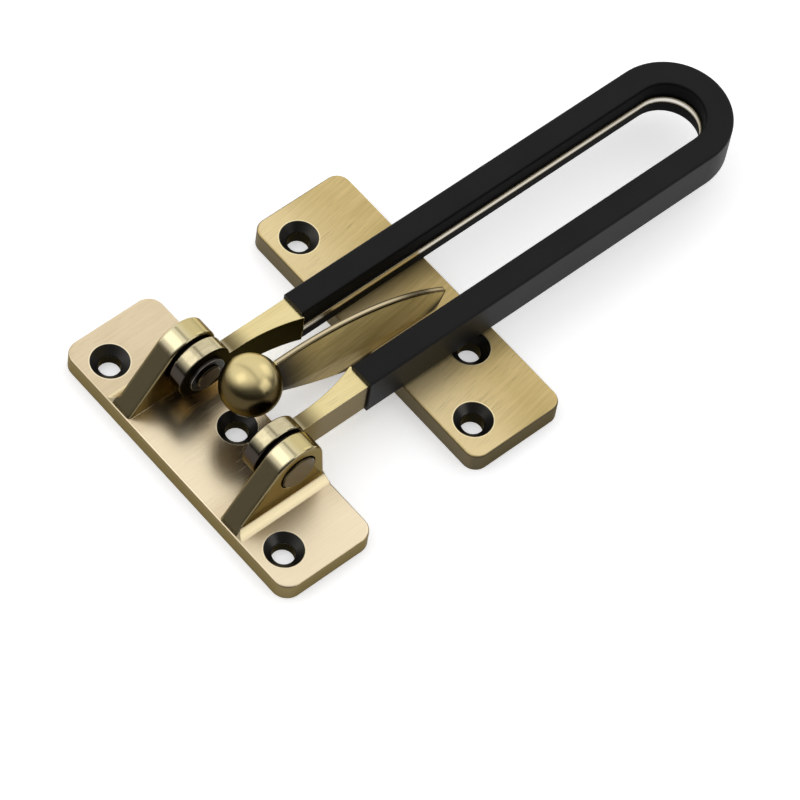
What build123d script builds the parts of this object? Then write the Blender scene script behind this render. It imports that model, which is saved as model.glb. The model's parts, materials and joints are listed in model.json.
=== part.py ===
from build123d import *
import math
import os

# Swing-bar door guard, in millimetres. Both plates lie with their backs on z = 0.
# +X runs along the plates, +Y from the hinge base towards the bar's loop, +Z away from the door.

# Hinge base: a cast plate with two ears
base_length = 80.0
base_width = 26.5
base_thickness = 4.8
base_corner_radius = 4.0
base_hole_setback = 7.0
centre_hole_setback = 7.5
hinge_axis_height = 15.2
hinge_axis_setback = 8.8
ear_thickness = 5.7
ear_barrel_radius = 7.4
ear_flare_width = 2.2
ear_flare_height = 2.1
ear_flare_hollow = 0.4
ear_edge_round = 0.8

# Keeper: a cast plate with a curved arm that ends in a ball
keeper_length = 80.0
keeper_width = 27.0
keeper_thickness = 5.5
keeper_corner_radius = 3.5
keeper_front_hole_setback = 7.1
keeper_rear_hole_setback = 7.8
keeper_rear_hole_spacing = 31.8
plate_gap = 29.3
ball_radius = 7.3
ball_overhang = 34.4
ball_height = 20.3
arm_root_width = 6.2
arm_ridge_width = 1.2
arm_crest_height = 23.0
arm_crest_setback = 10.5
arm_neck_setback = 3.6
arm_neck_depth = 5.7
arm_heel_height = 1.2
arm_tail_margin = 2.0
arm_tail_taper = 5.0
arm_lower_lip = 0.8
arm_underside_rise = 1.0

# Countersunk screw holes of both plates
screw_hole_diameter = 5.4
countersink_diameter = 9.4
countersink_angle = 90.0
outer_hole_spacing = 62.0
plate_edge_round = 0.6

# Swing bar: a cast loop with two knuckles, most of it inside a rubber sleeve
bar_reach = 146.6
bar_outer_width = 30.7
sleeve_width = 6.7
sleeve_height = 11.2
sleeve_wall = 1.1
sleeve_slit = 1.9
sleeve_clearance = 0.05
sleeve_edge_round = 0.6
sleeve_start = 26.5
rib_proud = 0.6
bare_arm_step = 0.5
scallop_start = 10.0
knuckle_radius = 7.3
knuckle_width = 4.3
knuckle_inner_gap = 21.8
knuckle_edge_round = 0.5
knuckle_root_fillet = 1.8

# Hinge pins and washers
pin_diameter = 5.2
pin_head_diameter = 9.1
pin_head_thickness = 1.4
pin_head_proud = 0.45
pin_head_edge_chamfer = 0.25
rivet_diameter = 6.4
rivet_height = 0.8
rivet_edge_chamfer = 0.3
retainer_diameter = 9.6
retainer_thickness = 0.8
spacer_diameter = 10.6
spacer_thickness = 0.8
running_clearance = 0.05
fixed_clearance = 0.02
side_clearance = 0.05
head_recess_clearance = 0.4

# Places worked out from the sizes above
base_front_y = -base_width / 2
base_rear_y = base_width / 2
hinge_y = base_rear_y - hinge_axis_setback
hinge_z = hinge_axis_height
keeper_front_y = base_rear_y + plate_gap
keeper_rear_y = keeper_front_y + keeper_width
ball_y = keeper_front_y - ball_overhang
knuckle_inner_x = knuckle_inner_gap / 2
knuckle_outer_x = knuckle_inner_x + knuckle_width
ear_inner_x = knuckle_outer_x + spacer_thickness + 2 * side_clearance
ear_outer_x = ear_inner_x + ear_thickness
retainer_outer_x = knuckle_inner_x - side_clearance
retainer_inner_x = retainer_outer_x - retainer_thickness
rivet_inner_x = retainer_inner_x - rivet_height
pin_head_inner_x = ear_outer_x + pin_head_proud - pin_head_thickness
pin_head_outer_x = ear_outer_x + pin_head_proud
bar_half_width = bar_outer_width / 2
bar_inner_half_width = bar_half_width - sleeve_width
core_half_width = bar_half_width - sleeve_wall
core_inner_half_width = bar_inner_half_width + sleeve_wall
rib_inner_half_width = bar_inner_half_width - rib_proud
bar_height = sleeve_height - 2 * sleeve_wall
bar_bottom_z = hinge_z - knuckle_radius
bar_top_z = bar_bottom_z + bar_height
bar_middle_z = (bar_bottom_z + bar_top_z) / 2
sleeve_start_y = hinge_y + sleeve_start
loop_centre_y = hinge_y + bar_reach - bar_half_width


def hinge_cylinder(radius, x_from, x_to):
    """A round bar on the hinge axis between two places along X."""
    middle = Location(((x_from + x_to) / 2, hinge_y, hinge_z), (0, 90, 0))
    return middle * Cylinder(radius, x_to - x_from)


def side_prism(profile, x_from, x_to):
    """A face drawn with Y and Z as its two axes, drawn out between two places along X."""
    return Pos(X=x_from) * extrude(Plane.YZ * profile, amount=x_to - x_from)


def rims(turned):
    """The round edges of a turned piece on the hinge axis, from low to high X."""
    return turned.edges().filter_by(GeomType.CIRCLE).sort_by(Axis.X)


def rounded_plate(length, width, thickness, corner_radius, middle_y):
    """A flat plate with round corners and a softened rim on its top face."""
    plate = extrude(Pos(Y=middle_y) * RectangleRounded(length, width, corner_radius), thickness)
    return fillet(plate.faces().sort_by(Axis.Z)[-1].edges(), plate_edge_round)


def countersunk_hole(x, y, thickness):
    """The space of one countersunk screw hole, running past both faces of a plate."""
    rim = countersink_diameter / 2
    shank = screw_hole_diameter / 2
    cone_depth = (rim - shank) / math.tan(math.radians(countersink_angle / 2))
    outline = Polyline(
        (0, -thickness),
        (shank, -thickness),
        (shank, thickness - cone_depth),
        (rim, thickness),
        (rim, 2 * thickness),
        (0, 2 * thickness),
        close=True,
    )
    return Pos(x, y) * revolve(Plane.XZ * make_face(outline), Axis.Z)


# Hinge base: plate, two ears with a flared foot, screw holes and seats for the pins
def make_ear():
    """One ear: a barrel round the hinge axis that runs down into the plate's front and rear walls."""
    foot_z = base_thickness - plate_edge_round
    foot = Line((base_front_y, foot_z), (base_rear_y, foot_z))
    barrel = Pos(hinge_y, hinge_z) * Circle(ear_barrel_radius)
    outline = make_hull([*barrel.edges(), foot])
    ear = side_prism(outline, ear_inner_x, ear_outer_x)
    upper_edges = ear.edges().filter_by(Axis.X, reverse=True) - ear.faces().sort_by(Axis.Z)[0].edges()
    ear = fillet(upper_edges, ear_edge_round)
    flare_inner_x = ear_outer_x - ear_edge_round
    flare_outer_x = ear_outer_x + ear_flare_width
    flare_top = (flare_inner_x, base_thickness + ear_flare_height + ear_edge_round)
    flare_end = (flare_outer_x, base_thickness)
    hollow = SagittaArc(flare_top, flare_end, -ear_flare_hollow)
    corner = Polyline(flare_end, (flare_inner_x, base_thickness), flare_top)
    flare = extrude(Plane.XZ * make_face([*hollow.edges(), *corner.edges()]), base_width, both=True)
    return ear + (flare & side_prism(outline, flare_inner_x, flare_outer_x))


def make_hinge_base():
    """The plate with its ears, pierced for three screws and two pins."""
    base = rounded_plate(base_length, base_width, base_thickness, base_corner_radius, 0)
    right_ear = make_ear()
    base += [right_ear, mirror(right_ear, Plane.YZ)]
    hole_y = base_front_y + base_hole_setback
    for x in (-outer_hole_spacing / 2, outer_hole_spacing / 2):
        base -= countersunk_hole(x, hole_y, base_thickness)
    base -= countersunk_hole(0, base_rear_y - centre_hole_setback, base_thickness)
    pin_seat = hinge_cylinder(pin_diameter / 2 + fixed_clearance, 0, pin_head_outer_x)
    recess_radius = pin_head_diameter / 2 + head_recess_clearance
    pin_seat += hinge_cylinder(recess_radius, pin_head_inner_x, pin_head_outer_x)
    return base - [pin_seat, mirror(pin_seat, Plane.YZ)]


# Keeper: plate, wedge-shaped arm with a narrow ridge, ball, screw holes
def arm_outline(crest, neck, fall):
    """The arm seen from its side: its top, the given fall to the tail, its heel and hollow underside."""
    tail_y = fall.position_at(1).X
    heel = (keeper_front_y, arm_heel_height)
    neck_foot = (neck[0], arm_crest_height - arm_neck_depth)
    edges = [
        Line(neck, crest),
        fall,
        Polyline(fall.position_at(1), (tail_y, arm_heel_height), heel),
        SagittaArc(heel, neck_foot, arm_underside_rise),
        Line(neck_foot, neck),
    ]
    return make_face([edge for piece in edges for edge in piece.edges()])


def make_arm():
    """The arm, lofted from its wide lower flanks to its narrow ridge and back."""
    neck_y = ball_y + arm_neck_setback
    crest_y = ball_y + arm_crest_setback
    tail_y = keeper_rear_y - arm_tail_margin
    crest = (crest_y, arm_crest_height)
    ridge_fall = TangentArc(crest, (tail_y, keeper_thickness), tangent=(1, 0))
    ridge = arm_outline(crest, (neck_y, arm_crest_height), ridge_fall)
    neck_lip_z = arm_crest_height - arm_neck_depth + arm_lower_lip
    underside_fall = (neck_lip_z - arm_lower_lip - arm_heel_height) / (keeper_front_y - neck_y)
    lip = (crest_y, neck_lip_z - underside_fall * (crest_y - neck_y))
    flank_fall = Line(lip, (tail_y - arm_tail_taper, keeper_thickness))
    flank = arm_outline(lip, (neck_y, neck_lip_z), flank_fall)
    places = (
        (-arm_root_width / 2, flank),
        (-arm_ridge_width / 2, ridge),
        (arm_ridge_width / 2, ridge),
        (arm_root_width / 2, flank),
    )
    return loft([Pos(X=x) * (Plane.YZ * outline) for x, outline in places], ruled=True)


def make_keeper():
    """The plate that screws to the door, with its arm and ball."""
    middle_y = (keeper_front_y + keeper_rear_y) / 2
    keeper = rounded_plate(keeper_length, keeper_width, keeper_thickness, keeper_corner_radius, middle_y)
    keeper += make_arm()
    keeper += Pos(0, ball_y, ball_height) * Sphere(ball_radius)
    rows = (
        (outer_hole_spacing, keeper_front_y + keeper_front_hole_setback),
        (keeper_rear_hole_spacing, keeper_rear_y - keeper_rear_hole_setback),
    )
    for spacing, y in rows:
        for x in (-spacing / 2, spacing / 2):
            keeper -= countersunk_hole(x, y, keeper_thickness)
    return keeper


# Swing bar: knuckles, bare arms with scalloped inner sides, and the loop with its rib
def loop_face(half_width, inner_half_width):
    """The bar seen from above: two straight runs and a round end, between two widths."""
    run = loop_centre_y - sleeve_start_y
    middle_y = (loop_centre_y + sleeve_start_y) / 2
    outer = Pos(0, middle_y) * Rectangle(2 * half_width, run) + Pos(0, loop_centre_y) * Circle(half_width)
    inner = Pos(0, middle_y) * Rectangle(2 * inner_half_width, run)
    return outer - inner - Pos(0, loop_centre_y) * Circle(inner_half_width)


def loop_bar(half_width, inner_half_width, height):
    """A loop of even height about the bar's middle height."""
    return Pos(Z=bar_middle_z - height / 2) * extrude(loop_face(half_width, inner_half_width), height)


def make_bare_arm():
    """One arm between its knuckle and the sleeve, thinned towards the knuckle by a scallop."""
    outer_x = core_half_width + bare_arm_step
    scallop_y = hinge_y + scallop_start
    scallop = TangentArc((knuckle_inner_x, scallop_y), (rib_inner_half_width, sleeve_start_y), tangent=(0, 1))
    straight = Polyline(
        (rib_inner_half_width, sleeve_start_y),
        (outer_x, sleeve_start_y),
        (outer_x, hinge_y),
        (knuckle_inner_x, hinge_y),
        (knuckle_inner_x, scallop_y),
    )
    plan = extrude(make_face([*scallop.edges(), *straight.edges()]), bar_top_z)
    arm_middle = Pos(hinge_y + sleeve_start / 2, bar_middle_z)
    profile = Pos(hinge_y, hinge_z) * Circle(knuckle_radius) + arm_middle * Rectangle(sleeve_start, bar_height)
    root = profile.vertices().group_by(Axis.Y)[-1].sort_by(Axis.X)[0]
    return plan & side_prism(fillet(root, knuckle_root_fillet), 0, outer_x)


def make_swing_bar():
    """The cast bar: both knuckles, both arms, the loop and the rib round its inside."""
    knuckle = hinge_cylinder(knuckle_radius, knuckle_inner_x, knuckle_outer_x)
    knuckle = fillet(rims(knuckle), knuckle_edge_round)
    knuckle += make_bare_arm()
    knuckle -= hinge_cylinder(pin_diameter / 2 + running_clearance, 0, knuckle_outer_x)
    rib_height = sleeve_slit - 2 * sleeve_clearance
    bar = loop_bar(core_half_width, core_inner_half_width, bar_height)
    bar += loop_bar(core_inner_half_width, rib_inner_half_width, rib_height)
    return bar + [knuckle, mirror(knuckle, Plane.YZ)]


def make_bar_sleeve():
    """The rubber sleeve: a channel slit along the inside of the loop."""
    sleeve = loop_bar(bar_half_width, bar_inner_half_width, sleeve_height)
    flat_edges = sleeve.faces().filter_by(Axis.Z).edges()
    end_edges = flat_edges.group_by(Axis.Y)[0]
    sleeve = fillet(flat_edges - end_edges, sleeve_edge_round)
    sleeve -= loop_bar(
        core_half_width + sleeve_clearance,
        core_inner_half_width - sleeve_clearance,
        bar_height + 2 * sleeve_clearance,
    )
    return sleeve - loop_bar(core_inner_half_width, bar_inner_half_width - sleeve_wall, sleeve_slit)


# Hinge hardware of the right-hand side; the left-hand side is its mirror image
def make_hinge_pin():
    """A pin with a flat head in the ear and a riveted end past the retaining washer."""
    head = hinge_cylinder(pin_head_diameter / 2, pin_head_inner_x, pin_head_outer_x)
    head = chamfer(rims(head)[-1], pin_head_edge_chamfer)
    rivet = hinge_cylinder(rivet_diameter / 2, rivet_inner_x, retainer_inner_x)
    rivet = chamfer(rims(rivet)[0], rivet_edge_chamfer)
    return head + rivet + hinge_cylinder(pin_diameter / 2, retainer_inner_x, pin_head_inner_x)


def make_washer(diameter, x_from, x_to):
    """A flat washer on the pin."""
    ring = hinge_cylinder(diameter / 2, x_from, x_to)
    return ring - hinge_cylinder(pin_diameter / 2 + fixed_clearance, x_from, x_to)


hinge_pin = make_hinge_pin()
retaining_washer = make_washer(retainer_diameter, retainer_inner_x, retainer_outer_x)
spacer_washer = make_washer(
    spacer_diameter,
    knuckle_outer_x + side_clearance,
    ear_inner_x - side_clearance,
)
nodes = {
    "hinge_base": make_hinge_base(),
    "keeper": make_keeper(),
    "swing_bar": make_swing_bar(),
    "bar_sleeve": make_bar_sleeve(),
}
for name, piece in (
    ("hinge_pin", hinge_pin),
    ("retaining_washer", retaining_washer),
    ("spacer_washer", spacer_washer),
):
    nodes[f"{name}_right"] = piece
    nodes[f"{name}_left"] = mirror(piece, Plane.YZ)

os.makedirs("parts", exist_ok=True)
for name, piece in nodes.items():
    export_step(piece, f"parts/{name}.step")
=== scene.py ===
import bpy
import json
import math
from mathutils import Matrix, Vector

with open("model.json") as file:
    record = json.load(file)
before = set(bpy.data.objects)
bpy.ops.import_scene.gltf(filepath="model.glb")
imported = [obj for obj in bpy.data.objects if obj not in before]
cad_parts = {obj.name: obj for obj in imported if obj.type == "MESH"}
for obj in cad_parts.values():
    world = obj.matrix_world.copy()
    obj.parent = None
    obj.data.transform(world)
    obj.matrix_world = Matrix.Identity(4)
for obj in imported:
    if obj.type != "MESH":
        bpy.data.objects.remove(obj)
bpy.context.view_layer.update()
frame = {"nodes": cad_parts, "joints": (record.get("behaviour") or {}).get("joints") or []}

# Hinge base: a zinc casting plated in antique brass and screwed to the door frame.
# The plating is blackened, then brushed along the bar's direction, so flat tops and barrels are
# pale brass while corners stay brown and the countersinks stay black. Faces that look up are also
# painted paler as light and walls darker as painted shade; rims and edges are paler, partly from
# wear and partly as a painted highlight.


def new_group(name, inputs, outputs):
    """An empty shader node group with named sockets: inputs are (name, type, value)."""
    group = bpy.data.node_groups.new(name, "ShaderNodeTree")
    for label, kind, value in inputs:
        socket = group.interface.new_socket(label, in_out="INPUT", socket_type=kind)
        if value is not None:
            socket.default_value = value
    for label, kind in outputs:
        group.interface.new_socket(label, in_out="OUTPUT", socket_type=kind)
    given = group.nodes.new("NodeGroupInput").outputs
    made = group.nodes.new("NodeGroupOutput").inputs
    return group, given, made


def add_node(tree, kind, links=None, **settings):
    """A node in a tree with its settings made and its input sockets linked or set."""
    node = tree.nodes.new(kind)
    for key, value in settings.items():
        setattr(node, key, value)
    for key, value in (links or {}).items():
        if isinstance(value, bpy.types.NodeSocket):
            tree.links.new(value, node.inputs[key])
        else:
            node.inputs[key].default_value = value
    return node


def add_math(tree, operation, first, second=0.0, third=0.0):
    """The value of one sum of up to three sockets or numbers."""
    links = {0: first, 1: second, 2: third}
    return add_node(tree, "ShaderNodeMath", links, operation=operation).outputs[0]


def add_vector(tree, operation, first, second=(0.0, 0.0, 0.0)):
    """The Vector and Value of one sum of two sockets or vectors."""
    links = {0: first, 1: second}
    return add_node(tree, "ShaderNodeVectorMath", links, operation=operation).outputs


def split_axes(tree, vector):
    """The X, Y and Z of a vector."""
    return add_node(tree, "ShaderNodeSeparateXYZ", {0: vector}).outputs


def add_noise(tree, place, scale, detail, roughness=0.5):
    """The value of a noise at a place."""
    links = {"Vector": place, "Scale": scale, "Detail": detail, "Roughness": roughness}
    return add_node(tree, "ShaderNodeTexNoise", links).outputs["Fac"]


def mix_colour(tree, amount, first, second, blend="MIX"):
    """The colour between two colours."""
    links = {0: amount, 6: first, 7: second}
    return add_node(tree, "ShaderNodeMix", links, data_type="RGBA", blend_type=blend).outputs[2]


def mix_value(tree, amount, first, second):
    """The value between two values."""
    return add_node(tree, "ShaderNodeMix", {0: amount, 2: first, 3: second}).outputs[0]


def smooth_step(tree, value, low, high):
    """0 at low, 1 at high, and a smooth change between them."""
    links = {"Value": value, "From Min": low, "From Max": high}
    step = add_node(tree, "ShaderNodeMapRange", links, interpolation_type="SMOOTHSTEP")
    return step.outputs["Result"]


def distance_across(tree, place, centre, across):
    """How far a place lies from a centre, along the axes that across marks with 1."""
    offset = add_vector(tree, "SUBTRACT", place, centre)["Vector"]
    flat = add_vector(tree, "MULTIPLY", offset, across)["Vector"]
    return add_vector(tree, "LENGTH", flat)["Value"]


# Brushed lines along Y, broader uneven bands in the same direction, and dark scratches in places
brushed_lines, given, made = new_group(
    "brushed_lines",
    [("Place", "NodeSocketVector", None),
     ("Lines per metre", "NodeSocketFloat", 4000.0),
     ("Breaks per metre", "NodeSocketFloat", 130.0),
     ("Turn", "NodeSocketFloat", 0.0)],
    [("Lines", "NodeSocketFloat"), ("Bands", "NodeSocketFloat"),
     ("Patches", "NodeSocketFloat"), ("Scratches", "NodeSocketFloat")],
)
bands_per_line = 0.26
patches_per_metre = 60.0
turned_place = add_node(brushed_lines, "ShaderNodeVectorRotate", {
    "Vector": given["Place"], "Angle": given["Turn"],
}, rotation_type="Z_AXIS").outputs[0]
stretch = add_node(brushed_lines, "ShaderNodeCombineXYZ", {
    "X": given["Lines per metre"], "Y": given["Breaks per metre"], "Z": given["Lines per metre"],
}).outputs[0]
drawn_out = add_vector(brushed_lines, "MULTIPLY", turned_place, stretch)["Vector"]
fine = add_noise(brushed_lines, drawn_out, 1.0, 3.0, 0.65)
coarse = add_noise(brushed_lines, drawn_out, bands_per_line, 3.0, 0.6)
patches = add_noise(brushed_lines, given["Place"], patches_per_metre, 2.0)
deep_lines = smooth_step(brushed_lines, fine, 0.58, 0.72)
in_patches = smooth_step(brushed_lines, patches, 0.5, 0.66)
scratches = add_math(brushed_lines, "MULTIPLY", deep_lines, in_patches)
for label, value in (
    ("Lines", fine), ("Bands", coarse), ("Patches", patches), ("Scratches", scratches),
):
    brushed_lines.links.new(value, made[label])

# Edges that read as slightly rounded, and a mask of where they are
soft_edges, given, made = new_group(
    "soft_edges",
    [("Radius", "NodeSocketFloat", 0.0003)],
    [("Normal", "NodeSocketVector"), ("Edge", "NodeSocketFloat")],
)
rounded = add_node(soft_edges, "ShaderNodeBevel", {"Radius": given["Radius"]}, samples=6).outputs[0]
plain = add_node(soft_edges, "ShaderNodeNewGeometry").outputs["Normal"]
likeness = add_vector(soft_edges, "DOT_PRODUCT", rounded, plain)["Value"]
bent_away = add_math(soft_edges, "SUBTRACT", 1.0, likeness)
soft_edges.links.new(rounded, made["Normal"])
soft_edges.links.new(smooth_step(soft_edges, bent_away, 0.015, 0.16), made["Edge"])

# Where the brush has cut the black back, which also stands for painted light on faces that look up
# and painted shade on walls: faces that look up, and less in deep corners
brushed_back_and_lit, given, made = new_group(
    "brushed_back_and_lit",
    [("Up", "NodeSocketFloat", 1.0), ("Bands", "NodeSocketFloat", 0.5),
     ("Bare from", "NodeSocketFloat", 0.6), ("Bare at", "NodeSocketFloat", 0.75),
     ("Unevenness", "NodeSocketFloat", 0.05), ("Corner reach", "NodeSocketFloat", 0.003)],
    [("Bare", "NodeSocketFloat"), ("Open", "NodeSocketFloat")],
)
reach = add_node(brushed_back_and_lit, "ShaderNodeAmbientOcclusion", {
    "Distance": given["Corner reach"],
}, samples=8).outputs["AO"]
band_shift = add_math(brushed_back_and_lit, "SUBTRACT", given["Bands"], 0.5)
uneven_up = add_math(brushed_back_and_lit, "MULTIPLY_ADD", band_shift, given["Unevenness"], given["Up"])
looks_up = smooth_step(brushed_back_and_lit, uneven_up, given["Bare from"], given["Bare at"])
open_part = smooth_step(brushed_back_and_lit, reach, 0.15, 0.6)
brushed_back_and_lit.links.new(add_math(brushed_back_and_lit, "MULTIPLY", looks_up, open_part), made["Bare"])
brushed_back_and_lit.links.new(open_part, made["Open"])

# A round spot seen from above, such as a countersink
round_spot, given, made = new_group(
    "round_spot",
    [("Place", "NodeSocketVector", None), ("Centre", "NodeSocketVector", None),
     ("Radius", "NodeSocketFloat", 0.0047)],
    [("Inside", "NodeSocketFloat")],
)
fringe = 0.00006
span = distance_across(round_spot, given["Place"], given["Centre"], (1.0, 1.0, 0.0))
beyond = add_math(round_spot, "SUBTRACT", span, given["Radius"])
round_spot.links.new(smooth_step(round_spot, beyond, fringe, -fringe), made["Inside"])


def round_spots(tree, place, centres, radius):
    """A mask of the round spots of one radius about some hole centres."""
    inside = 0.0
    for x, y in centres:
        spot = add_node(tree, "ShaderNodeGroup", {
            "Place": place, "Centre": (x, y, 0.0), "Radius": radius,
        }, node_tree=round_spot)
        inside = add_math(tree, "MAXIMUM", inside, spot.outputs["Inside"])
    return inside


def screw_holes(tree, place, centres, rim_wear_and_highlight, rim_rough, sink_black):
    """The areas of some screw holes: bright rims from wear and painted highlight, dark countersinks
    and black bores.
    """
    rim_radius = 0.00492
    sink_radius = 0.0047
    bore_radius = 0.00285
    bore_black = (0.012, 0.012, 0.011, 1)
    return [
        (round_spots(tree, place, centres, rim_radius), rim_wear_and_highlight, rim_rough, 1.0),
        (round_spots(tree, place, centres, sink_radius), sink_black, 0.36, 1.0),
        (round_spots(tree, place, centres, bore_radius), bore_black, 0.5, 1.0),
    ]


def new_finish(name):
    """A new material with its node tree and its shader."""
    material = bpy.data.materials.new(name)
    material.use_nodes = True
    tree = material.node_tree
    return material, tree, tree.nodes["Principled BSDF"]


def antique_brass(name, pale, deep, patina_and_wall_shade, dark, bare_from, bare_at, rough, metal, turn, areas,
                  both_faces=False):
    """Plating with pale brushed-back faces over a dark blackened layer; colours are linear. Faces
    that look up are paler as painted light and walls darker as painted shade, as well as from the
    brushing.

    areas gives the places that differ, each as (mask, colour or None, roughness, metallic share).
    both_faces brushes the underside like the top.
    """
    line_contrast = 0.3
    scratch_depth = 0.4
    rough_spread = 0.14
    edge_wear_and_glint = 0.6
    brown_glance = (0.62, 0.565, 0.45, 1)
    material, tree, shader = new_finish(name)
    place = add_node(tree, "ShaderNodeTexCoord").outputs
    up = split_axes(tree, place["Normal"])["Z"]
    if both_faces:
        up = add_math(tree, "ABSOLUTE", up)
    grain = add_node(tree, "ShaderNodeGroup", {
        "Place": place["Object"], "Turn": turn,
    }, node_tree=brushed_lines).outputs
    edges = add_node(tree, "ShaderNodeGroup", node_tree=soft_edges).outputs
    relief = add_node(tree, "ShaderNodeGroup", {
        "Up": up, "Bands": grain["Bands"], "Bare from": bare_from, "Bare at": bare_at,
    }, node_tree=brushed_back_and_lit).outputs
    mottle = mix_value(tree, 0.6, grain["Bands"], grain["Patches"])
    tone = smooth_step(tree, mottle, 0.35, 0.65)
    brass = mix_colour(tree, tone, (*deep, 1), (*pale, 1))
    streak = add_math(tree, "MULTIPLY_ADD", grain["Lines"], line_contrast, 1.0 - line_contrast / 2)
    brass = mix_colour(tree, 1.0, brass, streak, "MULTIPLY")
    scratch = add_math(tree, "MULTIPLY", grain["Scratches"], scratch_depth)
    brass = mix_colour(tree, scratch, brass, (*patina_and_wall_shade, 1))
    black = mix_colour(tree, relief["Open"], (*dark, 1), (*patina_and_wall_shade, 1))
    colour = mix_colour(tree, relief["Bare"], black, brass)
    smoothest = rough - rough_spread / 2
    roughness = add_math(tree, "MULTIPLY_ADD", grain["Lines"], rough_spread, smoothest)
    metallic = metal
    for mask, tint, polish, share in areas(tree, place, grain):
        if tint is not None:
            colour = mix_colour(tree, mask, colour, tint)
        if share != metal:
            metallic = mix_value(tree, mask, metallic, share)
        roughness = mix_value(tree, mask, roughness, polish)
    # Pale edges: partly wear, partly a painted highlight where rounded edges catch the light
    wear_and_glint = add_math(tree, "MULTIPLY", edges["Edge"], relief["Open"])
    colour = mix_colour(tree, add_math(tree, "MULTIPLY", wear_and_glint, edge_wear_and_glint), colour, (*pale, 1))
    tree.links.new(colour, shader.inputs["Base Color"])
    shader.inputs["Specular Tint"].default_value = brown_glance
    if isinstance(metallic, float):
        shader.inputs["Metallic"].default_value = metallic
    else:
        tree.links.new(metallic, shader.inputs["Metallic"])
    tree.links.new(roughness, shader.inputs["Roughness"])
    across = add_node(tree, "ShaderNodeVectorTransform", {
        0: (math.cos(turn), -math.sin(turn), 0.0),
    }, vector_type="VECTOR", convert_from="OBJECT", convert_to="WORLD")
    tree.links.new(across.outputs[0], shader.inputs["Tangent"])
    shader.inputs["Anisotropic"].default_value = 0.25
    ridges = add_node(tree, "ShaderNodeBump", {
        "Strength": 0.007, "Distance": 0.00005,
        "Height": grain["Lines"], "Normal": edges["Normal"],
    })
    tree.links.new(ridges.outputs[0], shader.inputs["Normal"])
    return material


def finish_node(name, material):
    """Gives a CAD node its material."""
    node = frame["nodes"][name]
    node.data.materials.clear()
    node.data.materials.append(material)


def base_areas(tree, place, grain):
    """The plate's front strip and right end painted bright as light, the ears with painted-shade
    slopes, barrels painted lit in front, flared feet painted bright as highlight, and the holes.
    """
    plate_top = 0.0048
    ear_outer = 0.0219
    hole_centres = [(-0.031, -0.00625), (0.031, -0.00625), (0.0, 0.00575)]
    barrel_lit_front = (0.78, 0.70, 0.45, 1)
    barrel_shaded_rear = (0.58, 0.485, 0.235, 1)
    strip_low = (0.88, 0.73, 0.50, 1)
    strip_high = (1.0, 0.875, 0.635, 1)
    slope_painted_shade = (0.145, 0.12, 0.067, 1)
    flare_painted_highlight = (0.90, 0.765, 0.48, 1)
    rim_wear_and_highlight = (1.0, 0.88, 0.62, 1)
    sink_black = (0.078, 0.076, 0.071, 1)
    spot = split_axes(tree, place["Object"])
    facing = split_axes(tree, place["Normal"])
    off_middle = add_math(tree, "ABSOLUTE", spot["X"])
    on_ear = smooth_step(tree, spot["Z"], plate_top + 0.0005, plate_top + 0.0012)
    barrel = add_math(tree, "MULTIPLY", on_ear, smooth_step(tree, facing["Z"], 0.64, 0.8))
    # Painted light and shade: the barrels are paler at the front and darker to the rear, and the
    # slopes get a painted-shade brown
    to_rear = smooth_step(tree, facing["Y"], -0.3, 0.2)
    barrel_painted_light = mix_colour(tree, to_rear, barrel_lit_front, barrel_shaded_rear)
    slope = add_math(tree, "MULTIPLY", on_ear, smooth_step(tree, facing["Y"], -0.65, -0.78))
    # Painted highlight: the flared feet beyond the ears are painted paler
    past_ear = smooth_step(tree, off_middle, ear_outer, ear_outer + 0.0003)
    off_plate = smooth_step(tree, spot["Z"], plate_top, plate_top + 0.0001)
    flare = add_math(tree, "MULTIPLY", past_ear, off_plate)
    # Painted light: the plate's front strip between the ears and its right end are painted brighter
    between_ears = smooth_step(tree, off_middle, 0.017, 0.009)
    to_front = smooth_step(tree, spot["Y"], 0.001, -0.006)
    front_strip = add_math(tree, "MULTIPLY", between_ears, to_front)
    right_end = smooth_step(tree, spot["X"], 0.020, 0.033)
    flat_top = smooth_step(tree, facing["Z"], 0.8, 0.98)
    painted_light_strip = add_math(tree, "MAXIMUM", front_strip, right_end)
    painted_light_strip = add_math(tree, "MULTIPLY", painted_light_strip, flat_top)
    strip_painted_light = mix_colour(tree, grain["Lines"], strip_low, strip_high)
    return [
        (painted_light_strip, strip_painted_light, 0.25, 1.0),
        (past_ear, None, 0.33, 1.0),
        (on_ear, None, 0.2, 1.0),
        (slope, slope_painted_shade, 0.42, 1.0),
        (barrel, barrel_painted_light, 0.17, 1.0),
        (flare, flare_painted_highlight, 0.3, 1.0),
        *screw_holes(tree, place["Object"], hole_centres, rim_wear_and_highlight, 0.25, sink_black),
    ]


finish_node("hinge_base", antique_brass(
    "champagne_brass", pale=(0.80, 0.66, 0.445), deep=(0.72, 0.585, 0.38),
    patina_and_wall_shade=(0.22, 0.175, 0.088), dark=(0.014, 0.011, 0.008), bare_from=0.60, bare_at=0.72,
    rough=0.25, metal=1.0, turn=0.0, areas=base_areas,
))

# Hinge pins: turned steel, plated dark, each with its flat head sunk in the outer face of an ear
# and its inner end riveted over a washer.


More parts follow.
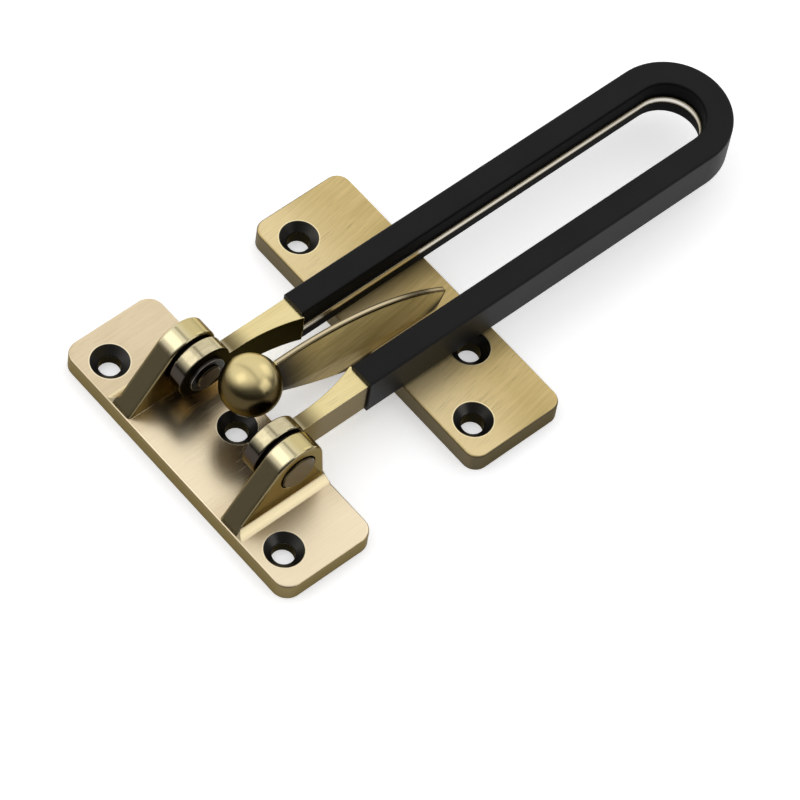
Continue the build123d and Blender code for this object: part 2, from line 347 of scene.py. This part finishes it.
def turned_metal(name, pale, face, side, rings_per_metre, rough):
    """A lathe-turned finish with fine rings about the hinge axis and pale edges from wear and
    painted glint.
    """
    clouds_per_metre = 420.0
    cloud_contrast = 0.7
    edge_wear_and_glint = 0.7
    material, tree, shader = new_finish(name)
    place = add_node(tree, "ShaderNodeTexCoord").outputs
    axis = next(joint for joint in frame["joints"] if joint["name"] == "bar_swing")["pos_m"]
    radius = distance_across(tree, place["Object"], axis, (0.0, 1.0, 1.0))
    rings = add_node(tree, "ShaderNodeTexNoise", {
        "W": add_math(tree, "MULTIPLY", radius, rings_per_metre), "Scale": 1.0, "Detail": 3.0,
    }, noise_dimensions="1D").outputs["Fac"]
    clouds = add_noise(tree, place["Object"], clouds_per_metre, 3.0, 0.55)
    clouds = add_math(tree, "MULTIPLY_ADD", clouds, cloud_contrast, 1.0 - cloud_contrast / 2)
    edges = add_node(tree, "ShaderNodeGroup", {"Radius": 0.0002}, node_tree=soft_edges).outputs
    along = split_axes(tree, place["Normal"])["X"]
    # Separate colours for the sides and end faces: painted shade on the pins' sides, painted glint
    # on the washers' sides
    end_face = smooth_step(tree, add_math(tree, "ABSOLUTE", along), 0.3, 0.8)
    shade = mix_colour(tree, end_face, (*side, 1), (*face, 1))
    shade = mix_colour(tree, 1.0, shade, clouds, "MULTIPLY")
    wear_and_glint = add_math(tree, "MULTIPLY", edges["Edge"], edge_wear_and_glint)
    tree.links.new(mix_colour(tree, wear_and_glint, shade, (*pale, 1)), shader.inputs["Base Color"])
    shader.inputs["Metallic"].default_value = 1.0
    tree.links.new(add_math(tree, "MULTIPLY_ADD", rings, 0.2, rough), shader.inputs["Roughness"])
    ridges = add_node(tree, "ShaderNodeBump", {
        "Strength": 0.15, "Distance": 0.00005, "Height": rings, "Normal": edges["Normal"],
    })
    tree.links.new(ridges.outputs[0], shader.inputs["Normal"])
    return material


# The pins' near-black sides are painted shade, for the gap around each head sunk in its ear
pin_metal = turned_metal(
    "dark_turned_pin", pale=(0.22, 0.17, 0.11), face=(0.088, 0.064, 0.028),
    side=(0.012, 0.010, 0.008), rings_per_metre=5000.0, rough=0.24,
)
for pin in ("hinge_pin_right", "hinge_pin_left"):
    finish_node(pin, pin_metal)

# Washers: a blackened steel washer under each riveted pin end, whose bright edges and paler sides
# are a painted glint, and a black nylon friction washer between each knuckle and its ear, whose
# near-black also stands for the shade in that gap.
washer_metal = turned_metal(
    "black_steel_washer", pale=(0.62, 0.58, 0.52), face=(0.030, 0.027, 0.023),
    side=(0.20, 0.18, 0.16), rings_per_metre=9000.0, rough=0.2,
)
for washer in ("retaining_washer_right", "retaining_washer_left"):
    finish_node(washer, washer_metal)

nylon_dark = (0.003, 0.003, 0.003, 1)
nylon_light = (0.010, 0.010, 0.0095, 1)
speckles_per_metre = 2500.0
black_nylon, tree, shader = new_finish("black_nylon")
place = add_node(tree, "ShaderNodeTexCoord").outputs
speckle = add_noise(tree, place["Object"], speckles_per_metre, 2.0)
nylon = mix_colour(tree, speckle, nylon_dark, nylon_light)
tree.links.new(nylon, shader.inputs["Base Color"])
tree.links.new(add_math(tree, "MULTIPLY_ADD", speckle, 0.2, 0.45), shader.inputs["Roughness"])
for washer in ("spacer_washer_right", "spacer_washer_left"):
    finish_node(washer, black_nylon)

# Swing bar: one U-shaped casting with two knuckles, plated like the base but yellower on its bare
# arms. Its knuckles are polished, with painted shade below their crests, and in the loop only its
# rib shows in the sleeve's slit, painted bright along its middle and dark at its edges.


def bar_areas(tree, place, grain):
    """Painted shade on the arm roots, polished knuckles with painted shade below their crests,
    painted shade on the inner sides, and the rib in the loop painted bright in the middle and dark
    at its edges.
    """
    knuckle_end = 0.0118
    root_end = 0.0125
    root_fade = 0.0190
    rib_height = 0.0124
    sleeve_start = 0.0311
    rib_painted_highlight = (0.95, 0.91, 0.84, 1)
    rib_edge_shade = (0.22, 0.195, 0.16, 1)
    knuckle_low = (0.46, 0.40, 0.24, 1)
    knuckle_high = (0.74, 0.65, 0.43, 1)
    knuckle_painted_shade = (0.05, 0.041, 0.035, 1)
    root_brown = (0.15, 0.115, 0.056, 1)
    inner_painted_shade = (0.012, 0.011, 0.008, 1)
    spot = split_axes(tree, place["Object"])
    facing = split_axes(tree, place["Normal"])
    side = add_math(tree, "SIGN", spot["X"])
    # Painted shade: the inner sides of the arms are painted near-black, as shade inside the loop
    inner = smooth_step(tree, add_math(tree, "MULTIPLY", side, facing["X"]), -0.35, -0.7)
    knuckles = smooth_step(tree, spot["Y"], knuckle_end + 0.001, knuckle_end - 0.001)
    off_rib = add_math(tree, "ABSOLUTE", add_math(tree, "SUBTRACT", spot["Z"], rib_height))
    level = smooth_step(tree, off_rib, 0.00105, 0.00095)
    in_sleeve = smooth_step(tree, spot["Y"], sleeve_start, sleeve_start + 0.0001)
    rib = add_math(tree, "MULTIPLY", level, in_sleeve)
    # Painted highlight and shade: the rib is pale along its middle and dark at its edges, as on a
    # round rib
    rib_painted_light = mix_colour(tree, smooth_step(tree, off_rib, 0.0002, 0.00085), rib_painted_highlight, rib_edge_shade)
    # Painted shade: the knuckles are painted dark where they don't face up or down
    crest = smooth_step(tree, add_math(tree, "ABSOLUTE", facing["Z"]), 0.5, 0.84)
    champagne = mix_colour(tree, grain["Bands"], knuckle_low, knuckle_high)
    champagne = mix_colour(tree, crest, knuckle_painted_shade, champagne)
    root_shade = smooth_step(tree, spot["Y"], root_fade, root_end)
    root_shade = add_math(tree, "MULTIPLY", root_shade, 0.95)
    return [
        (root_shade, root_brown, 0.26, 1.0),
        (knuckles, champagne, 0.15, 1.0),
        (inner, inner_painted_shade, 0.5, 1.0),
        (rib, rib_painted_light, 0.22, 1.0),
    ]


finish_node("swing_bar", antique_brass(
    "yellow_brass", pale=(0.82, 0.69, 0.355), deep=(0.73, 0.60, 0.285),
    patina_and_wall_shade=(0.22, 0.185, 0.13), dark=(0.010, 0.009, 0.007), bare_from=0.45, bare_at=0.65,
    rough=0.24, metal=1.0, turn=0.0, areas=bar_areas, both_faces=True,
))

# Sleeve: a black rubber channel, extruded and stretched over the U of the bar. Its skin is matte
# with a fine grain and slightly greyer edges, and it is painted blacker inside the loop as shade.
rubber_dark = (0.004, 0.004, 0.004, 1)
rubber_light = (0.011, 0.011, 0.0107, 1)
rubber_edge = (0.03, 0.03, 0.029, 1)
rubber_inside_shade = (0.002, 0.002, 0.002, 1)
skin_grains_per_metre = 2600.0
clouds_per_metre = 70.0
loop_centre = (0.0, 0.1357, 0.0)
slot_half_width = 0.0088
black_rubber, tree, shader = new_finish("black_rubber")
place = add_node(tree, "ShaderNodeTexCoord").outputs
skin = add_noise(tree, place["Object"], skin_grains_per_metre, 4.0, 0.6)
cloud = add_noise(tree, place["Object"], clouds_per_metre, 3.0)
edges = add_node(tree, "ShaderNodeGroup", {"Radius": 0.0004}, node_tree=soft_edges).outputs
rubber = mix_colour(tree, cloud, rubber_dark, rubber_light)
rubber = mix_colour(tree, add_math(tree, "MULTIPLY", edges["Edge"], 0.5), rubber, rubber_edge)
spot = split_axes(tree, add_vector(tree, "SUBTRACT", place["Object"], loop_centre)["Vector"])
past_centre = add_math(tree, "MAXIMUM", spot["Y"], 0.0)
slot_point = add_node(tree, "ShaderNodeCombineXYZ", {"X": spot["X"], "Y": past_centre}).outputs[0]
off_slot = add_vector(tree, "LENGTH", slot_point)["Value"]
# Painted shade: the sleeve is painted blacker inside the loop
inside_loop = smooth_step(tree, off_slot, slot_half_width + 0.0003, slot_half_width)
rubber = mix_colour(tree, inside_loop, rubber, rubber_inside_shade)
tree.links.new(rubber, shader.inputs["Base Color"])
shader.inputs["Specular IOR Level"].default_value = 0.15
skin_rough = add_math(tree, "MULTIPLY_ADD", skin, 0.25, 0.38)
tree.links.new(mix_value(tree, inside_loop, skin_rough, 0.8), shader.inputs["Roughness"])
grainy = add_node(tree, "ShaderNodeBump", {
    "Strength": 0.1, "Distance": 0.00006, "Height": skin, "Normal": edges["Normal"],
})
tree.links.new(grainy.outputs[0], shader.inputs["Normal"])
finish_node("bar_sleeve", black_rubber)

# Keeper: a second casting, screwed to the door. Its plate is brushed to a golden brass, its curved
# arm is left bronze with a bright ridge, and its ball is polished.


def keeper_areas(tree, place, grain):
    """The plate's front painted bright as light, its dark strokes, its end walls painted dark as
    shade, the arm with a painted-shade neck, its ball painted light above and shade below, and the
    holes.
    """
    plate_top = 0.0055
    ball_centre = (0.0, 0.00815, 0.0203)
    ball_radius = 0.0073
    ridge_half_width = 0.0007
    hole_centres = [(-0.031, 0.04965), (0.031, 0.04965), (-0.0159, 0.06175), (0.0159, 0.06175)]
    stroke_depth = 0.32
    bronze_low = (0.68, 0.505, 0.185, 1)
    bronze_high = (0.88, 0.68, 0.28, 1)
    neck_painted_shade = (0.035, 0.029, 0.023, 1)
    ball_painted_shade = (0.075, 0.055, 0.024, 1)
    ball_top = (0.70, 0.58, 0.29, 1)
    ridge_pale = (0.62, 0.52, 0.33, 1)
    ridge_edge = (0.07, 0.056, 0.036, 1)
    front_low = (0.70, 0.54, 0.26, 1)
    front_high = (1.0, 0.83, 0.49, 1)
    stroke_brown = (0.26, 0.19, 0.085, 1)
    end_wall_painted_shade = (0.11, 0.092, 0.060, 1)
    rim_wear_and_highlight = (1.0, 0.86, 0.53, 1)
    sink_black = (0.075, 0.072, 0.066, 1)
    spot = split_axes(tree, place["Object"])
    facing = split_axes(tree, place["Normal"])
    up = facing["Z"]
    off_ball = add_vector(tree, "DISTANCE", place["Object"], ball_centre)["Value"]
    ball = smooth_step(tree, off_ball, ball_radius + 0.0003, ball_radius + 0.0001)
    # Painted light and shade: the ball is painted pale where it faces up and dark below
    ball_painted_light = mix_colour(tree, smooth_step(tree, up, 0.52, 0.82), ball_painted_shade, ball_top)
    above_plate = smooth_step(tree, spot["Z"], plate_top + 0.0001, plate_top + 0.0004)
    flank = add_math(tree, "MULTIPLY", above_plate, smooth_step(tree, up, 0.75, 0.45))
    streaks = smooth_step(tree, grain["Bands"], 0.3, 0.7)
    bronze = mix_colour(tree, streaks, bronze_low, bronze_high)
    # Painted shade: the flank darkens towards its neck at the ball
    bronze = mix_colour(tree, smooth_step(tree, spot["Y"], 0.029, 0.015), bronze, neck_painted_shade)
    off_middle = add_math(tree, "ABSOLUTE", spot["X"])
    on_ridge = smooth_step(tree, off_middle, ridge_half_width + 0.0001, ridge_half_width)
    ridge = add_math(tree, "MULTIPLY", above_plate, on_ridge)
    to_edge = smooth_step(tree, off_middle, 0.0002, 0.00045)
    ridge_tint = mix_colour(tree, to_edge, ridge_pale, ridge_edge)
    # Painted light: the front of the plate's top is painted brighter
    top_face = smooth_step(tree, up, 0.9, 0.98)
    to_front = smooth_step(tree, spot["Y"], 0.063, 0.045)
    front_part = add_math(tree, "MULTIPLY", top_face, to_front)
    front_painted_light = mix_colour(tree, grain["Lines"], front_low, front_high)
    dark_lines = smooth_step(tree, grain["Lines"], 0.51, 0.66)
    in_patches = smooth_step(tree, grain["Patches"], 0.44, 0.6)
    strokes = add_math(tree, "MULTIPLY", dark_lines, in_patches)
    strokes = add_math(tree, "MULTIPLY", strokes, top_face)
    strokes = add_math(tree, "MULTIPLY", strokes, stroke_depth)
    # Painted shade: the end walls are painted darker
    end_wall = smooth_step(tree, add_math(tree, "ABSOLUTE", facing["X"]), 0.3, 0.7)
    return [
        (front_part, front_painted_light, 0.36, 0.65),
        (strokes, stroke_brown, 0.4, 0.65),
        (end_wall, end_wall_painted_shade, 0.45, 1.0),
        (flank, bronze, 0.45, 0.25),
        (ridge, ridge_tint, 0.3, 1.0),
        (ball, ball_painted_light, 0.27, 1.0),
        *screw_holes(tree, place["Object"], hole_centres, rim_wear_and_highlight, 0.3, sink_black),
    ]


finish_node("keeper", antique_brass(
    "golden_brass", pale=(0.73, 0.56, 0.255), deep=(0.56, 0.42, 0.17),
    patina_and_wall_shade=(0.14, 0.11, 0.06), dark=(0.03, 0.024, 0.014), bare_from=0.55, bare_at=0.75,
    rough=0.38, metal=0.65, turn=math.radians(-9.0), areas=keeper_areas,
))

# Studio: a white floor that keeps the guard's shadow, a dim room with a bright ceiling to the left
# that has a darker gap across it, and three soft boxes in front, behind and to the right.
floor_white = (0.93, 0.93, 0.93, 1)
floor_glow = 0.45
bpy.ops.object.select_all(action="DESELECT")
bpy.ops.mesh.primitive_plane_add(size=6.0, location=(0, 0.07, 0))
floor = bpy.context.object
floor.name = "studio_floor"
bpy.ops.object.transform_apply(location=True, rotation=False, scale=True)
white_floor, tree, shader = new_finish("white_floor")
shader.inputs["Base Color"].default_value = floor_white
shader.inputs["Roughness"].default_value = 0.9
shader.inputs["Specular IOR Level"].default_value = 0.1
shader.inputs["Emission Color"].default_value = (1, 1, 1, 1)
ray = add_node(tree, "ShaderNodeLightPath").outputs
seen = add_math(tree, "MAXIMUM", ray["Is Camera Ray"], ray["Is Glossy Ray"])
seen = add_math(tree, "MAXIMUM", seen, ray["Is Transmission Ray"])
tree.links.new(add_math(tree, "MULTIPLY", seen, floor_glow), shader.inputs["Emission Strength"])
floor.data.materials.append(white_floor)

bright_side = Vector((-0.60, 0.22, 0.77)).normalized()
gap_place = 0.15
gap_light = 0.4
room_light = 0.06
ceiling_light = 0.95
room = bpy.data.worlds.new("studio_room")
bpy.context.scene.world = room
room.use_nodes = True
tree = room.node_tree
tree.nodes.clear()
look = add_node(tree, "ShaderNodeTexCoord").outputs["Generated"]
towards = add_vector(tree, "DOT_PRODUCT", look, bright_side)["Value"]
lit = smooth_step(tree, towards, 0.0, 0.7)
sky = split_axes(tree, look)
along_ceiling = add_math(tree, "DIVIDE", sky["Y"], sky["Z"])
off_gap = add_math(tree, "ABSOLUTE", add_math(tree, "ADD", along_ceiling, -gap_place))
panels = smooth_step(tree, off_gap, 0.03, 0.14)
panels = add_math(tree, "MULTIPLY_ADD", panels, 1.0 - gap_light, gap_light)
ceiling = add_math(tree, "MULTIPLY", lit, panels)
level = add_math(tree, "MULTIPLY_ADD", ceiling, ceiling_light, room_light)
glow = add_node(tree, "ShaderNodeBackground", {"Color": (1, 1, 1, 1), "Strength": level})
add_node(tree, "ShaderNodeOutputWorld", {"Surface": glow.outputs[0]})

box_distance = 0.9
box_target = Vector((0.0, 0.04, 0.0))
for name, direction, width, height, energy in (
    ("soft_box_front", Vector((-0.33, -0.48, 0.81)), 0.5, 0.5, 0.4),
    ("soft_box_back", Vector((0.05, 0.87, 0.48)), 0.6, 0.5, 0.4),
    ("soft_box_right", Vector((0.75, 0.40, 0.52)), 0.6, 0.6, 1.1),
):
    bpy.ops.object.light_add(type="AREA", location=direction.normalized() * box_distance)
    lamp = bpy.context.object
    lamp.name = name
    lamp.data.shape = "RECTANGLE"
    lamp.data.size = width
    lamp.data.size_y = height
    lamp.data.energy = energy
    lamp.rotation_euler = (box_target - lamp.location).to_track_quat("-Z", "Y").to_euler()

# Camera: above the hinge base's front right corner, looking down along the bar, turned a little
azimuth = math.radians(40.86)
elevation = math.radians(57.32)
roll = math.radians(10.33)
distance = 1.1202
aim = Vector((0.01467, 0.04228, 0.0))
camera_data = bpy.data.cameras.new("photo_camera")
camera_data.lens = 220.7
camera_data.sensor_width = 36.0
camera_data.clip_start = 0.05
camera_data.clip_end = 20.0
camera = bpy.data.objects.new("photo_camera", camera_data)
bpy.context.scene.collection.objects.link(camera)
back = Vector((
    math.sin(azimuth) * math.cos(elevation),
    -math.cos(azimuth) * math.cos(elevation),
    math.sin(elevation),
))
level_right = (-back).cross(Vector((0, 0, 1))).normalized()
level_up = level_right.cross(-back)
right = level_right * math.cos(roll) + level_up * math.sin(roll)
above = level_up * math.cos(roll) - level_right * math.sin(roll)
turned = Matrix((right, above, back)).transposed().to_4x4()
camera.matrix_world = Matrix.Translation(aim + back * distance) @ turned
bpy.context.scene.camera = camera
bpy.context.scene.view_settings.view_transform = "Standard"
